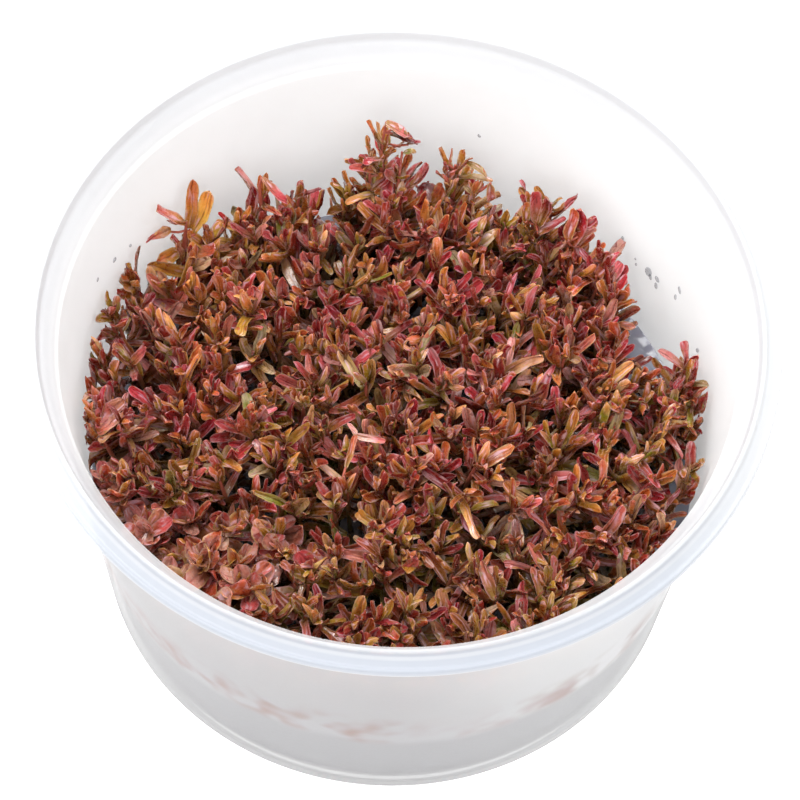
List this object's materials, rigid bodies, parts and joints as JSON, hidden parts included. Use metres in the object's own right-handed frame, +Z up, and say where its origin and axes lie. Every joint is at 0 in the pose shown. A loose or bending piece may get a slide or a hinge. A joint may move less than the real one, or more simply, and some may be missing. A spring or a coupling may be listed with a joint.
{
  "type": "potted singapore blood red rotala",
  "caption": "Frosted plastic culture cup of red rotala: small leafy stems packed in a bed on clear growing gel, with taller shoots at the back.",
  "frame": {"origin": "centre of the cup's foot, on the surface that it stands on", "axes": "+Z up the cup, -Y towards the viewer, with the tallest shoots at +Y"},
  "size_m": [0.1, 0.1, 0.057],
  "materials": {
    "cup_plastic": "frosted translucent moulded plastic",
    "growing_gel": "wet glossy clear gel",
    "rose_leaf": "moist glossy leaf with fine lengthwise veins",
    "crimson_leaf": "moist glossy leaf with fine lengthwise veins",
    "amber_leaf": "moist glossy leaf with fine lengthwise veins",
    "bronze_leaf": "moist glossy leaf with fine lengthwise veins"
  },
  "bodies": {
    "root": {"cup": "cup_plastic", "culture_gel": "growing_gel", "clump_01": "rose_leaf", "clump_02": "bronze_leaf", "clump_03": "crimson_leaf", "clump_04": "rose_leaf", "clump_05": "bronze_leaf", "clump_06": "crimson_leaf", "clump_07": "rose_leaf", "clump_08": "bronze_leaf", "clump_09": "crimson_leaf", "clump_10": "rose_leaf", "clump_11": "bronze_leaf", "clump_12": "crimson_leaf", "clump_13": "rose_leaf", "clump_14": "bronze_leaf", "clump_15": "crimson_leaf", "clump_16": "rose_leaf", "clump_17": "bronze_leaf", "clump_18": "crimson_leaf", "clump_19": "rose_leaf", "clump_20": "bronze_leaf", "clump_21": "crimson_leaf", "clump_22": "rose_leaf", "clump_23": "amber_leaf", "clump_24": "crimson_leaf", "clump_25": "rose_leaf", "clump_26": "bronze_leaf", "clump_27": "crimson_leaf", "clump_28": "rose_leaf", "clump_29": "bronze_leaf", "clump_30": "crimson_leaf", "clump_31": "rose_leaf", "clump_32": "bronze_leaf", "clump_33": "crimson_leaf", "clump_34": "crimson_leaf", "clump_35": "bronze_leaf", "clump_36": "amber_leaf", "clump_37": "rose_leaf", "clump_38": "bronze_leaf", "clump_39": "crimson_leaf", "clump_40": "rose_leaf", "clump_41": "bronze_leaf", "clump_42": "crimson_leaf", "clump_43": "rose_leaf", "clump_44": "amber_leaf", "clump_45": "crimson_leaf", "clump_46": "rose_leaf", "clump_47": "crimson_leaf", "clump_48": "crimson_leaf", "clump_49": "rose_leaf", "clump_50": "bronze_leaf", "clump_51": "crimson_leaf"}
  },
  "joints": []
}
